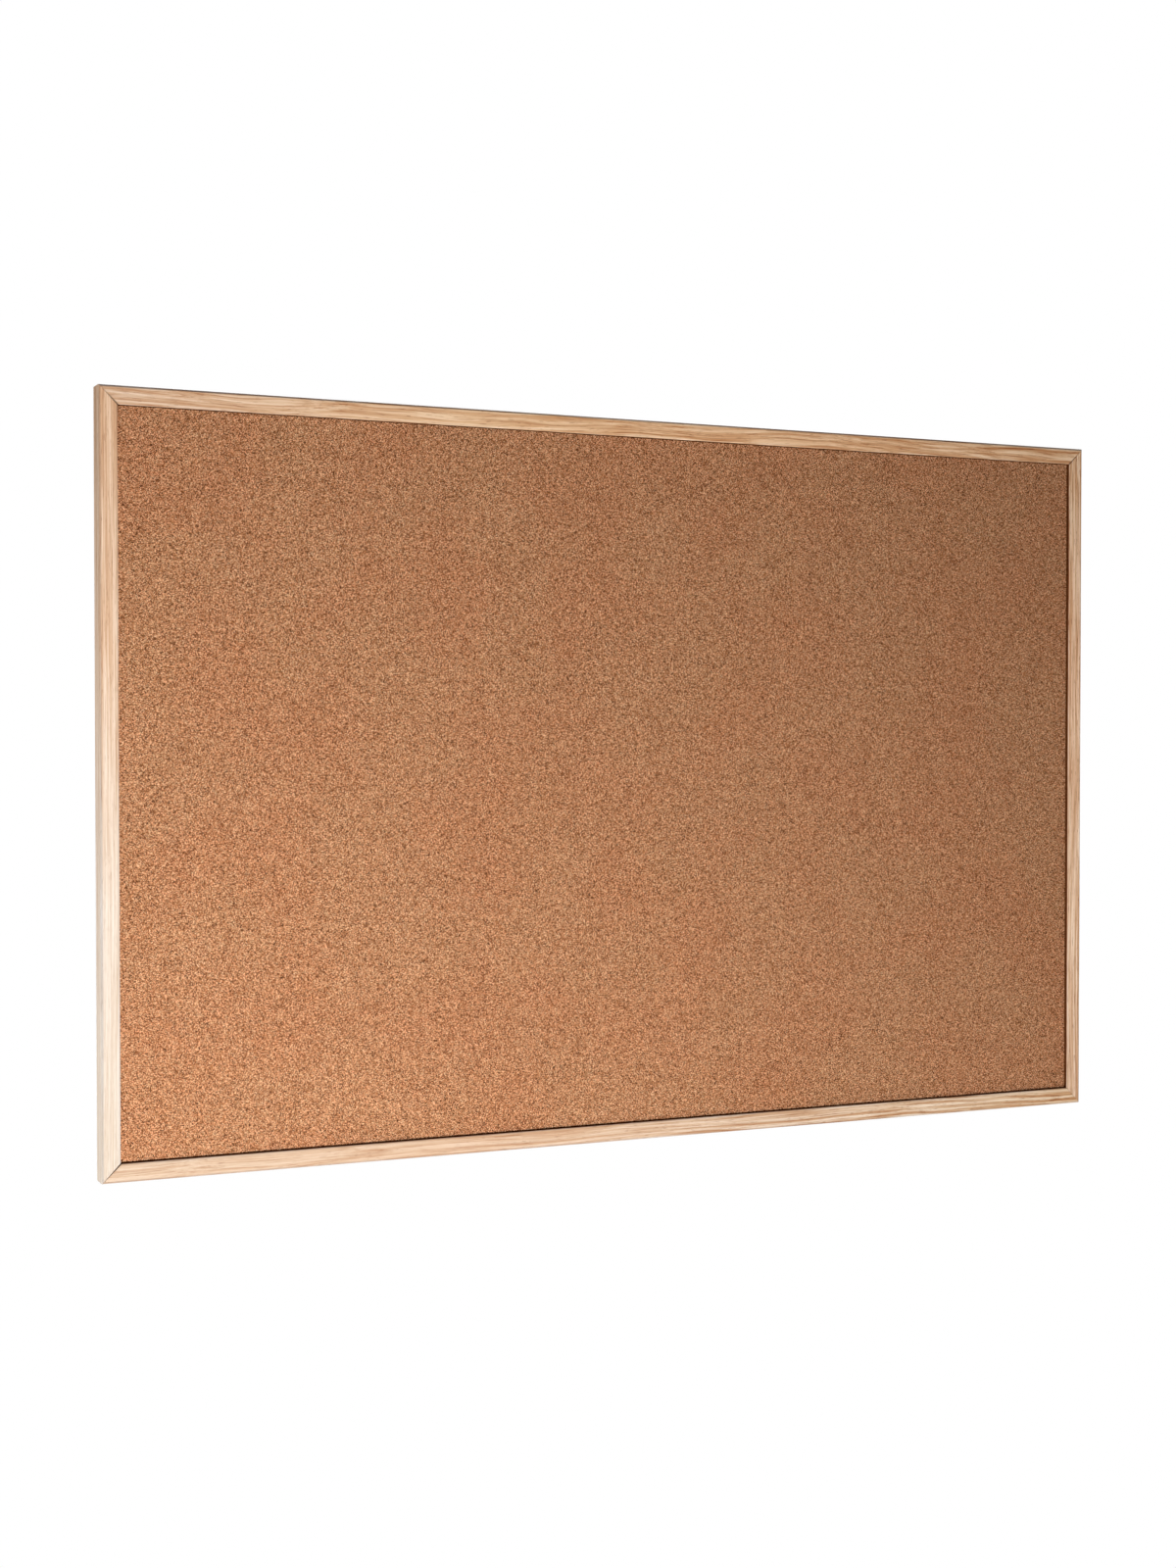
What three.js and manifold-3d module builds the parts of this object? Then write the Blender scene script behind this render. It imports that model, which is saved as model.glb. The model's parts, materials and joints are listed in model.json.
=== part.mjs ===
// Pine-framed cork pinboard, hung on a wall by two D-rings.
// Millimetres. +X to the board's right as it is read, +Z up, the cork faces -Y and the wall is at +Y.
// The origin is the middle of the top rail's back face.

import * as THREE from "three";
import { mergeVertices } from "three/addons/utils/BufferGeometryUtils.js";
import Module from "manifold-3d";

const wasm = await Module();
wasm.setup();

// Driving dimensions

const boardWidth = 900;
const boardHeight = 600;

// Rails

const railFace = 14.5;
const railDepth = 18;
const lipThickness = 1.5;
const grooveDepth = 5;
const outerEdgeRadius = 2;
const innerEdgeRadius = 1.2;
const backEdgeRadius = 0.6;
const mitreGap = 0.3;

// Panel layers, from the front to the back

const frontGap = 2.4;
const corkThickness = 2;
const coreThickness = 6;
const paperThickness = 0.4;
const glueLine = 0.1;
const panelEdgeGap = 1;
const corkEdgeGap = 0.3;
const panelSeatGap = 0.3;

// Corner nails, driven from the back

const nailHeight = 10;
const nailLeg = 4.4;
const nailThickness = 0.5;
const nailHalfAngle = THREE.MathUtils.degToRad(40);
const nailSink = 0.3;
const nailSlotGap = 0.3;
const outerNailInset = 2.8;
const innerNailInset = 6.6;

// Hangers on the backs of the side rails

const hangerDrop = 70;
const ringWire = 2;
const ringOuterWidth = 13;
const ringCornerRadius = 2;
const ringLeg = 1.5;
const strapGauge = 0.8;
const strapWidth = 7;
const strapLength = 19.5;
const strapEndRadius = 3;
const wireGap = 0.3;
const screwPlace = 14.2;
const contactGap = 0.1;

// Hanger screws

const screwShank = 3;
const screwLength = 12;
const screwTip = 3;
const screwHead = 5.6;
const screwHeadHeight = 1.9;
const screwHeadSide = 0.7;
const screwHoleGap = 0.3;
const recessSpan = 3;
const recessWidth = 0.8;
const recessDepth = 1;

// Bumpers on the back of the bottom rail

const bumperDiameter = 10;
const bumperHeight = 3;
const bumperRound = 1;
const bumperInset = 25;

// How finely round shapes are faceted

const edgeSegments = 5;
const wireSides = 10;
const ringSegments = 48;
const roundSegments = 24;
const domeSegments = 5;

// One overrun for all cuts

const overrun = 1;

// Sizes that follow

const grooveWidth =
  frontGap + corkThickness + glueLine + coreThickness + glueLine + paperThickness + panelSeatGap;
const rearCheek = railDepth - lipThickness - grooveWidth;
const openingWidth = boardWidth - 2 * railFace;
const openingHeight = boardHeight - 2 * railFace;
const panelWidth = openingWidth + 2 * (grooveDepth - panelEdgeGap);
const panelHeight = openingHeight + 2 * (grooveDepth - panelEdgeGap);
const hangerInset = railFace / 2;
const wireRadius = ringWire / 2;
const eyeBore = wireRadius + wireGap;
const eyeRadius = eyeBore + strapGauge;
const strapPlate = 2 * strapGauge;
const ringHalfWidth = (ringOuterWidth - ringWire) / 2;
const ringReach = ringCornerRadius + ringLeg + ringHalfWidth;
const ringTilt = Math.asin((strapPlate + wireGap + wireRadius - eyeRadius) / ringReach);

// Materials

function finish(color, roughness, metalness) {
  return new THREE.MeshStandardMaterial({ color, roughness, metalness });
}

const pine = finish("#e8c8a4", 0.6, 0);
const cork = finish("#b9835a", 0.95, 0);
const fibreboard = finish("#5c4231", 0.95, 0);
const kraftPaper = finish("#c8a97e", 0.9, 0);
const nailSteel = finish("#8d9095", 0.45, 1);
const zincPlate = finish("#c3c6ca", 0.32, 1);
const bumperRubber = finish("#3a3a3b", 0.85, 0);

// Joining and cutting

function solidOf(geometry, matrix) {
  const bare = geometry.clone().applyMatrix4(matrix);
  bare.deleteAttribute("normal");
  bare.deleteAttribute("uv");
  const merged = mergeVertices(bare);
  return new wasm.Manifold(
    new wasm.Mesh({
      numProp: 3,
      vertProperties: new Float32Array(merged.attributes.position.array),
      triVerts: new Uint32Array(merged.index.array),
    }),
  );
}

function geometryOf(solid) {
  const mesh = solid.getMesh();
  const geometry = new THREE.BufferGeometry();
  geometry.setAttribute("position", new THREE.BufferAttribute(mesh.vertProperties, 3));
  geometry.setIndex(new THREE.BufferAttribute(mesh.triVerts, 1));
  geometry.computeVertexNormals();
  return geometry;
}

// Each cutter is a mesh placed in the same group as the piece that it cuts.
function carve(piece, cutters) {
  piece.updateMatrix();
  const toPiece = piece.matrix.clone().invert();
  let solid = solidOf(piece.geometry, new THREE.Matrix4());
  for (const cutter of cutters) {
    cutter.updateMatrix();
    solid = solid.subtract(solidOf(cutter.geometry, toPiece.clone().multiply(cutter.matrix)));
  }
  piece.geometry = geometryOf(solid);
}

function place(geometry, material, name, x, y, z, across, along) {
  const mesh = new THREE.Mesh(geometry, material);
  mesh.name = name;
  const up = new THREE.Vector3().crossVectors(across, along);
  mesh.quaternion.setFromRotationMatrix(new THREE.Matrix4().makeBasis(across, along, up));
  mesh.position.set(x, y, z);
  return mesh;
}

const right = new THREE.Vector3(1, 0, 0);
const left = new THREE.Vector3(-1, 0, 0);
const upward = new THREE.Vector3(0, 0, 1);
const downward = new THREE.Vector3(0, 0, -1);
const forward = new THREE.Vector3(0, -1, 0);
const backward = new THREE.Vector3(0, 1, 0);

// A rail's section: x runs inward from its outer side, y runs from its back to its front.
function railSection() {
  const grooveFront = rearCheek + grooveWidth;
  const grooveFloor = railFace - grooveDepth;
  const section = new THREE.Shape();
  section.moveTo(backEdgeRadius, 0);
  section.lineTo(railFace, 0);
  section.lineTo(railFace, rearCheek);
  section.lineTo(grooveFloor, rearCheek);
  section.lineTo(grooveFloor, grooveFront);
  section.lineTo(railFace, grooveFront);
  section.lineTo(railFace, railDepth - innerEdgeRadius);
  section.absarc(railFace - innerEdgeRadius, railDepth - innerEdgeRadius, innerEdgeRadius, 0, Math.PI / 2);
  section.lineTo(outerEdgeRadius, railDepth);
  section.absarc(
    outerEdgeRadius,
    railDepth - outerEdgeRadius,
    outerEdgeRadius,
    Math.PI / 2,
    Math.PI,
  );
  section.lineTo(0, backEdgeRadius);
  section.absarc(backEdgeRadius, backEdgeRadius, backEdgeRadius, Math.PI, Math.PI * 1.5);
  return section;
}

// The ends are mitred: what lies further in starts later by as much.
function railGeometry(length) {
  const geometry = new THREE.ExtrudeGeometry(railSection(), {
    depth: length,
    bevelEnabled: false,
    curveSegments: edgeSegments,
  });
  const places = geometry.attributes.position;
  const endGap = mitreGap * Math.SQRT1_2;
  for (let i = 0; i < places.count; i += 1) {
    const inset = places.getX(i) + endGap;
    places.setZ(i, places.getZ(i) === 0 ? inset : length - inset);
  }
  return geometry;
}

const halfWidth = boardWidth / 2;
const halfHeight = boardHeight / 2;

const topRail = place(
  railGeometry(boardWidth), pine, "top_rail", halfWidth, 0, halfHeight, downward, forward,
);
const rightRail = place(
  railGeometry(boardHeight), pine, "right_rail", halfWidth, 0, -halfHeight, left, forward,
);
const bottomRail = place(
  railGeometry(boardWidth), pine, "bottom_rail", -halfWidth, 0, -halfHeight, upward, forward,
);
const leftRail = place(
  railGeometry(boardHeight), pine, "left_rail", -halfWidth, 0, halfHeight, right, forward,
);

// One layer of the panel, with its back face at a depth in front of the rails' backs.
function layer(name, material, width, height, thickness, back) {
  const mesh = new THREE.Mesh(new THREE.BoxGeometry(width, thickness, height), material);
  mesh.name = name;
  mesh.position.y = -back - thickness / 2;
  return mesh;
}

const paperBack = rearCheek + panelSeatGap;
const coreBack = paperBack + paperThickness + glueLine;
const corkBack = coreBack + coreThickness + glueLine;

const panel = new THREE.Group();
panel.add(
  layer("backing_paper", kraftPaper, panelWidth, panelHeight, paperThickness, paperBack),
  layer("fibreboard_core", fibreboard, panelWidth, panelHeight, coreThickness, coreBack),
  layer(
    "cork_sheet",
    cork,
    openingWidth - 2 * corkEdgeGap,
    openingHeight - 2 * corkEdgeGap,
    corkThickness,
    corkBack,
  ),
);

// A V-nail's section: its apex lies at the origin and its legs run along +X, one to each side.
function veeSection(leg, thickness) {
  const cos = Math.cos(nailHalfAngle);
  const sin = Math.sin(nailHalfAngle);
  const section = new THREE.Shape();
  section.moveTo(0, 0);
  section.lineTo(leg * cos, -leg * sin);
  section.lineTo(leg * cos + thickness * sin, -leg * sin + thickness * cos);
  section.lineTo(thickness / sin, 0);
  section.lineTo(leg * cos + thickness * sin, leg * sin - thickness * cos);
  section.lineTo(leg * cos, leg * sin);
  return section;
}

function prism(section, depth) {
  return new THREE.ExtrudeGeometry(section, { depth, bevelEnabled: false, curveSegments: roundSegments });
}

function nailGeometry() {
  return prism(veeSection(nailLeg, nailThickness), nailHeight);
}

// The slot is the nail grown by its clearance on every side and open at the back.
function slotGeometry() {
  const leg = nailLeg + nailSlotGap + nailSlotGap / Math.tan(nailHalfAngle);
  const geometry = prism(
    veeSection(leg, nailThickness + 2 * nailSlotGap),
    overrun + nailSink + nailHeight + nailSlotGap,
  );
  geometry.translate(-nailSlotGap / Math.sin(nailHalfAngle), 0, -overrun - nailSink);
  return geometry;
}

// A piece in a corner, with its X along the mitre towards the middle and its Z towards the front.
function atCorner(geometry, material, name, side, level, inset, depth) {
  const inward = new THREE.Vector3(-side, 0, -level).normalize();
  const across = new THREE.Vector3().crossVectors(forward, inward);
  const x = side * (halfWidth - inset);
  const z = level * (halfHeight - inset);
  return place(geometry, material, name, x, -depth, z, inward, across);
}

const corners = [
  ["top_left", -1, 1, [topRail, leftRail]],
  ["top_right", 1, 1, [topRail, rightRail]],
  ["bottom_left", -1, -1, [bottomRail, leftRail]],
  ["bottom_right", 1, -1, [bottomRail, rightRail]],
];
const nailInsets = [
  ["outer", outerNailInset],
  ["inner", innerNailInset],
];
const nails = [];
for (const [corner, side, level, rails] of corners) {
  for (const [which, inset] of nailInsets) {
    const name = `v_nail_${corner}_${which}`;
    nails.push(atCorner(nailGeometry(), nailSteel, name, side, level, inset, nailSink));
    const slot = atCorner(slotGeometry(), nailSteel, name, side, level, inset, 0);
    for (const rail of rails) carve(rail, [slot]);
  }
}

// The strap in section: x runs down from the ring's axis, y runs away from the rail's back.
function strapSection() {
  const meets = Math.asin((strapPlate - eyeRadius) / eyeRadius);
  const section = new THREE.Shape();
  section.moveTo(strapLength, 0);
  section.lineTo(strapLength, strapPlate);
  section.lineTo(eyeRadius * Math.cos(meets), strapPlate);
  section.absarc(0, eyeRadius, eyeRadius, meets, Math.PI * 1.5);
  const bore = new THREE.Path();
  bore.absarc(0, eyeRadius, eyeBore, 0, Math.PI * 2, true);
  section.holes.push(bore);
  return section;
}

// What is cut off the strap's lower end to round its two corners.
function strapCornerSection() {
  const half = strapWidth / 2;
  const start = strapLength - strapEndRadius;
  const section = new THREE.Shape();
  section.moveTo(start, half + overrun);
  section.lineTo(start, half);
  section.absarc(start, half - strapEndRadius, strapEndRadius, Math.PI / 2, 0, true);
  section.lineTo(strapLength + overrun, half - strapEndRadius);
  section.lineTo(strapLength + overrun, half + overrun);
  return section;
}

function strapMesh() {
  const strap = new THREE.Mesh(prism(strapSection(), strapWidth), zincPlate);
  const hole = new THREE.Mesh(
    new THREE.CylinderGeometry(
      screwShank / 2 + screwHoleGap,
      screwShank / 2 + screwHoleGap,
      strapPlate + 2 * overrun,
      roundSegments,
    ),
  );
  hole.position.set(screwPlace, strapPlate / 2, strapWidth / 2);
  const cutters = [hole];
  for (const side of [1, -1]) {
    const corner = new THREE.Mesh(prism(strapCornerSection(), strapPlate + 2 * overrun));
    corner.rotation.x = (side * Math.PI) / 2;
    corner.position.set(0, side > 0 ? strapPlate + overrun : -overrun, strapWidth / 2);
    cutters.push(corner);
  }
  carve(strap, cutters);
  return strap;
}

// The ring's wire runs along its bar, which is its axis, and round a D below it.
class RingLine extends THREE.Curve {
  constructor() {
    super();
    const bar = ringHalfWidth - ringCornerRadius;
    const foot = -ringCornerRadius - ringLeg;
    this.outline = new THREE.Path();
    this.outline.moveTo(0, 0);
    this.outline.lineTo(-bar, 0);
    this.outline.absarc(-bar, -ringCornerRadius, ringCornerRadius, Math.PI / 2, Math.PI);
    this.outline.lineTo(-ringHalfWidth, foot);
    this.outline.absarc(0, foot, ringHalfWidth, Math.PI, Math.PI * 2);
    this.outline.lineTo(ringHalfWidth, -ringCornerRadius);
    this.outline.absarc(bar, -ringCornerRadius, ringCornerRadius, 0, Math.PI / 2);
    this.outline.lineTo(0, 0);
  }

  getPoint(share, target = new THREE.Vector3()) {
    const point = this.outline.getPointAt(share);
    return target.set(point.x, 0, point.y);
  }
}

function ringMesh() {
  const tube = new THREE.TubeGeometry(new RingLine(), ringSegments, wireRadius, wireSides, true);
  return new THREE.Mesh(tube, zincPlate);
}

// A pan-head screw: z runs out of the wood, and the underside of the head is at zero.
function screwMesh() {
  const shank = screwShank / 2;
  const head = screwHead / 2;
  const profile = [
    new THREE.Vector2(0, -screwLength),
    new THREE.Vector2(shank, screwTip - screwLength),
    new THREE.Vector2(shank, 0),
    new THREE.Vector2(head, 0),
    new THREE.Vector2(head, screwHeadSide),
  ];
  for (let i = 1; i <= domeSegments; i += 1) {
    const angle = ((Math.PI / 2) * i) / domeSegments;
    const rise = (screwHeadHeight - screwHeadSide) * Math.sin(angle);
    profile.push(new THREE.Vector2(i < domeSegments ? head * Math.cos(angle) : 0, screwHeadSide + rise));
  }
  const turned = new THREE.LatheGeometry(profile, roundSegments).rotateX(Math.PI / 2);
  const screw = new THREE.Mesh(turned, zincPlate);
  const slots = [];
  for (const [wide, long] of [[recessSpan, recessWidth], [recessWidth, recessSpan]]) {
    const slot = new THREE.Mesh(new THREE.BoxGeometry(wide, long, recessDepth + overrun));
    slot.position.z = screwHeadHeight - recessDepth + (recessDepth + overrun) / 2;
    slots.push(slot);
  }
  carve(screw, slots);
  return screw;
}

// A hanger is a strap with its ring and screw on the back of a side rail.
function hanger(side, name, rail) {
  const x = side * (halfWidth - hangerInset);
  const z = halfHeight - hangerDrop;
  const pieces = new THREE.Group();

  const strap = strapMesh();
  const strapTurn = new THREE.Matrix4().makeBasis(downward, backward, right);
  strap.name = `hanger_strap_${name}`;
  strap.quaternion.setFromRotationMatrix(strapTurn);
  strap.position.set(x - strapWidth / 2, contactGap, z);

  const ring = ringMesh();
  ring.name = `hanger_ring_${name}`;
  ring.rotation.x = ringTilt;
  ring.position.set(x, contactGap + eyeRadius, z);

  const screw = screwMesh();
  screw.name = `hanger_screw_${name}`;
  screw.rotation.x = -Math.PI / 2;
  screw.position.set(x, 2 * contactGap + strapPlate, z - screwPlace);

  const pilotRadius = screwShank / 2 + screwHoleGap;
  const pilotDepth = screwLength - strapPlate + screwHoleGap;
  const pilot = new THREE.Mesh(
    new THREE.CylinderGeometry(pilotRadius, pilotRadius, pilotDepth + overrun, roundSegments),
  );
  pilot.position.set(x, overrun - (pilotDepth + overrun) / 2, z - screwPlace);
  carve(rail, [pilot]);

  pieces.add(strap, ring, screw);
  return pieces;
}

const hangers = [hanger(-1, "left", leftRail), hanger(1, "right", rightRail)];

// A low round bumper, flat where it sticks to the rail.
function bumper(side, name) {
  const radius = bumperDiameter / 2;
  const profile = [new THREE.Vector2(0, 0), new THREE.Vector2(radius, 0)];
  for (let i = 0; i <= domeSegments; i += 1) {
    const angle = ((Math.PI / 2) * i) / domeSegments;
    const out = radius - bumperRound + bumperRound * Math.cos(angle);
    profile.push(new THREE.Vector2(out, bumperHeight - bumperRound + bumperRound * Math.sin(angle)));
  }
  profile.push(new THREE.Vector2(0, bumperHeight));
  const mesh = new THREE.Mesh(new THREE.LatheGeometry(profile, roundSegments), bumperRubber);
  mesh.name = `wall_bumper_${name}`;
  mesh.position.set(side * (halfWidth - bumperInset), contactGap, railFace / 2 - halfHeight);
  return mesh;
}

// The whole board, moved so that the origin is the middle of the top rail's back

const board = new THREE.Group();
board.position.z = railFace / 2 - halfHeight;
board.add(topRail, bottomRail, leftRail, rightRail, panel);
board.add(...nails, ...hangers, bumper(-1, "left"), bumper(1, "right"));

const pinboard = new THREE.Group();
pinboard.add(board);

export default pinboard;
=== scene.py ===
# A pine-framed cork pinboard in soft studio light, seen from the photograph's viewing angle.
# Metres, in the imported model's frame: +X to the right as the board is read, +Z up, the cork
# faces -Y and the wall is at +Y. The board hangs clear of the floor, as on a wall.

import json
import math
from dataclasses import dataclass

import bmesh
import bpy
from mathutils import Matrix, Vector, noise


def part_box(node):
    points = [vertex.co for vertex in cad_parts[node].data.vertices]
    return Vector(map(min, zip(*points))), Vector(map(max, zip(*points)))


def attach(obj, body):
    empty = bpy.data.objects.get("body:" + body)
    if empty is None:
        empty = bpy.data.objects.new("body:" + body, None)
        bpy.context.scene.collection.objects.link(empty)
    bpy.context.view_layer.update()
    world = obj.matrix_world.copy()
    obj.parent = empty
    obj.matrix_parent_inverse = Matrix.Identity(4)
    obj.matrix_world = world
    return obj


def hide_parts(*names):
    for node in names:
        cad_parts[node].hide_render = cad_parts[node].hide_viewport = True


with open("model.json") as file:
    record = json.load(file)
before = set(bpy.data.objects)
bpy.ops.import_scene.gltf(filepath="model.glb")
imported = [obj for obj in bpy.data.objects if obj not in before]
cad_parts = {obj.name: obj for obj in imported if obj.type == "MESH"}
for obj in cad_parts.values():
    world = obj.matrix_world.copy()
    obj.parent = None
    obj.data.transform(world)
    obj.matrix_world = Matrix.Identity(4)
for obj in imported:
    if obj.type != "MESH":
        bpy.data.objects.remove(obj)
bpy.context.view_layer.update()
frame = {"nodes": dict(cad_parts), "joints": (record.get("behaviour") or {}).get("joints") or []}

MM = 0.001


# The camera, fitted to the frame's eight edges in the photograph

IMAGE_WIDTH = 1200
FOCAL_PIXELS = 2257.4
SENSOR = 36
CAMERA_PLACE = Vector((-808.8, -1675.4, -257.05)) * MM
CAMERA_YAW = math.radians(24.652)
CAMERA_PITCH = math.radians(-1.193)


def make_camera():
    data = bpy.data.cameras.new("camera")
    data.sensor_fit = "HORIZONTAL"
    data.sensor_width = SENSOR
    data.lens = SENSOR * FOCAL_PIXELS / IMAGE_WIDTH
    camera = bpy.data.objects.new("camera", data)
    camera.location = CAMERA_PLACE
    camera.rotation_euler = (math.pi / 2 + CAMERA_PITCH, 0, -CAMERA_YAW)
    bpy.context.collection.objects.link(camera)
    bpy.context.scene.camera = camera


make_camera()


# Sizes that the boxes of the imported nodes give

def low(node):
    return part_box(node)[0]


def high(node):
    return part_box(node)[1]


BOARD_LEFT = low("left_rail").x
BOARD_RIGHT = high("right_rail").x
BOARD_BOTTOM = low("bottom_rail").z
BOARD_TOP = high("top_rail").z
BOARD_BACK = high("top_rail").y
RAIL_FACE = high("top_rail").z - low("top_rail").z
RAIL_DEPTH = high("top_rail").y - low("top_rail").y
BOARD_WIDTH = BOARD_RIGHT - BOARD_LEFT
BOARD_HEIGHT = BOARD_TOP - BOARD_BOTTOM
BOARD_CENTRE = Vector((
    (BOARD_LEFT + BOARD_RIGHT) / 2, BOARD_BACK - RAIL_DEPTH / 2, (BOARD_BOTTOM + BOARD_TOP) / 2,
))

# Sizes inside a rail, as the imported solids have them

LIP = 1.5 * MM
GROOVE_DEPTH = 5 * MM
REAR_CHEEK = 5.2 * MM
OUTER_ROUND = 2 * MM
INNER_ROUND = 1.2 * MM
BACK_ROUND = 0.6 * MM


# Meshes

# Edges that turn by more than this many degrees stay crisp
CREASE = 35


def piece(name, mesh, material, body, node):
    """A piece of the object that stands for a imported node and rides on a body."""
    mesh.materials.append(material)
    obj = bpy.data.objects.new(name, mesh)
    bpy.context.collection.objects.link(obj)
    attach(obj, body)
    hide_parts(node)


def mesh_of(name, bm, sharp=CREASE):
    """A smooth-shaded mesh whose edges over sharp degrees stay crisp."""
    bmesh.ops.recalc_face_normals(bm, faces=bm.faces)
    for face in bm.faces:
        face.smooth = True
    for edge in bm.edges:
        edge.smooth = edge.calc_face_angle(0) < math.radians(sharp)
    mesh = bpy.data.meshes.new(name)
    bm.to_mesh(mesh)
    bm.free()
    return mesh


def worked(mesh, kind, settings, sharp=CREASE):
    """mesh after one modifier of a kind."""
    obj = bpy.data.objects.new("bench", mesh)
    bpy.context.collection.objects.link(obj)
    modifier = obj.modifiers.new(kind.lower(), kind)
    for key, value in settings.items():
        setattr(modifier, key, value)
    graph = bpy.context.evaluated_depsgraph_get()
    done = bpy.data.meshes.new_from_object(obj.evaluated_get(graph))
    bpy.data.objects.remove(obj)
    bm = bmesh.new()
    bm.from_mesh(done)
    return mesh_of(mesh.name, bm, sharp)


def cut(mesh, cutters):
    """mesh less the solids of some other meshes."""
    for number, cutter in enumerate(cutters):
        tool = bpy.data.objects.new(f"cutter_{number}", cutter)
        bpy.context.collection.objects.link(tool)
        cutting = {"object": tool, "operation": "DIFFERENCE", "solver": "MANIFOLD"}
        mesh = worked(mesh, "BOOLEAN", cutting)
        bpy.data.objects.remove(tool)
    return mesh


def rounded(corners, segments, step):
    """A closed outline through corners (x, y, radius), its straights cut into steps."""
    points = []
    for i, (x, y, radius) in enumerate(corners):
        corner = Vector((x, y))
        before = (Vector(corners[i - 1][:2]) - corner).normalized()
        after = (Vector(corners[(i + 1) % len(corners)][:2]) - corner).normalized()
        if radius == 0:
            points.append(corner)
            continue
        half = before.angle(after) / 2
        centre = corner + (before + after).normalized() * radius / math.sin(half)
        start = corner + before * radius / math.tan(half) - centre
        end = corner + after * radius / math.tan(half) - centre
        for k in range(segments + 1):
            points.append(centre + start.slerp(end, k / segments).normalized() * radius)
    outline = []
    for i, point in enumerate(points):
        following = points[(i + 1) % len(points)]
        pieces = max(1, math.ceil((following - point).length / step))
        outline += [point.lerp(following, k / pieces) for k in range(pieces)]
    return outline


def outward_normals(outline):
    """At each point of a closed outline, the unit vector that points out of it."""
    area = sum(a.x * b.y - a.y * b.x for a, b in zip(outline, outline[1:] + outline[:1]))
    turn = 1 if area > 0 else -1
    normals = []
    for i in range(len(outline)):
        along = (outline[(i + 1) % len(outline)] - outline[i - 1]).normalized()
        normals.append(Vector((along.y, -along.x)) * turn)
    return normals


def skin(bm, rings, closed=False):
    """Faces between rings of vertices, with a lid on each end if the rings don't close."""
    made = [[bm.verts.new(point) for point in ring] for ring in rings]
    pairs = list(zip(made, made[1:]))
    if closed:
        pairs.append((made[-1], made[0]))
    else:
        bm.faces.new(made[0])
        bm.faces.new(made[-1])
    for one, other in pairs:
        for k in range(len(one)):
            bm.faces.new((one[k - 1], one[k], other[k], other[k - 1]))


def turned(name, profile, centre, segments):
    """A solid turned about an axis along Y: profile points are (radius, y), on the axis at both ends."""
    bm = bmesh.new()
    poles = [bm.verts.new(centre + Vector((0, profile[k][1], 0))) for k in (0, -1)]
    rings = []
    for radius, y in profile[1:-1]:
        ring = []
        for k in range(segments):
            angle = math.tau * k / segments
            point = Vector((radius * math.cos(angle), y, radius * math.sin(angle)))
            ring.append(bm.verts.new(centre + point))
        rings.append(ring)
    for k in range(segments):
        bm.faces.new((poles[0], rings[0][k - 1], rings[0][k]))
        bm.faces.new((poles[1], rings[-1][k], rings[-1][k - 1]))
        for one, other in zip(rings, rings[1:]):
            bm.faces.new((one[k - 1], one[k], other[k], other[k - 1]))
    return mesh_of(name, bm)


# Rails: mitred battens with rounded front edges and a groove that holds the panel

STATION_STEP = 3 * MM
OUTLINE_STEP = 3 * MM
ROUND_SEGMENTS = 8
SAWN_ROUND = 0.25 * MM
ARRIS = 0.12 * MM
WAVE_DEPTH = 0.08 * MM
WAVE_LENGTH = 120 * MM
DENT_DEPTH = 0.22 * MM
DENT_LENGTH = 9 * MM
DENT_REACH = 1.6 * MM

# A dent starts where its noise passes DENT_FROM, and has its full depth DENT_SPAN further on
DENT_FROM = 0.35
DENT_SPAN = 0.3

# How far each mitre stands open at its inner and at its outer end
MITRES = {
    "top_left": (0.55 * MM, 0.04 * MM),
    "top_right": (0.5 * MM, 0.12 * MM),
    "bottom_left": (0.65 * MM, 0.12 * MM),
    "bottom_right": (0.14 * MM, 0.06 * MM),
}


def rail_outline():
    """A rail's section: x runs in from its outer side, y runs from its back to its front."""
    groove_front = RAIL_DEPTH - LIP
    groove_floor = RAIL_FACE - GROOVE_DEPTH
    return rounded([
        (0, 0, BACK_ROUND),
        (RAIL_FACE, 0, SAWN_ROUND),
        (RAIL_FACE, REAR_CHEEK, SAWN_ROUND),
        (groove_floor, REAR_CHEEK, 0),
        (groove_floor, groove_front, 0),
        (RAIL_FACE, groove_front, SAWN_ROUND),
        (RAIL_FACE, RAIL_DEPTH, INNER_ROUND),
        (0, RAIL_DEPTH, OUTER_ROUND),
    ], ROUND_SEGMENTS, OUTLINE_STEP)


def wear(s, point, seed):
    """How far a rail's surface lies under its true face: a slow wave, and dents along the front edges."""
    wave = 0.5 + 0.5 * noise.noise(Vector((s / WAVE_LENGTH, point.y / RAIL_DEPTH, seed)))
    edge = min((point - Vector((x, RAIL_DEPTH))).length for x in (0, RAIL_FACE))
    near = max(0.0, 1 - edge / DENT_REACH)
    dent = max(0.0, noise.noise(Vector((s / DENT_LENGTH, seed * 3, point.x / RAIL_FACE))) - DENT_FROM)
    return WAVE_DEPTH * wave + DENT_DEPTH * near * dent / DENT_SPAN


def rail_mesh(name, length, place, start_mitre, end_mitre, seed):
    """place turns (along, in from the outer side, out from the back) into a point of the frame."""
    outline = rail_outline()
    normals = outward_normals(outline)
    stations = math.ceil(length / STATION_STEP)
    shares = [k / stations for k in range(stations + 1)]
    shares[1:1] = [ARRIS / length]
    shares[-1:-1] = [1 - ARRIS / length]

    def open_by(mitre, x):
        inner, outer = mitre
        return (outer + (inner - outer) * x / RAIL_FACE) * math.sqrt(0.5)

    rings = []
    for share in shares:
        ring = []
        for point, normal in zip(outline, normals):
            start = point.x + open_by(start_mitre, point.x)
            end = length - point.x - open_by(end_mitre, point.x)
            s = start + (end - start) * share
            sunk = wear(s, point, seed) + (ARRIS if share in (0, 1) else 0)
            moved = point - normal * sunk
            ring.append(place(s, moved.x, moved.y))
        rings.append(ring)
    bm = bmesh.new()
    skin(bm, rings)
    return mesh_of(name, bm)


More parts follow.
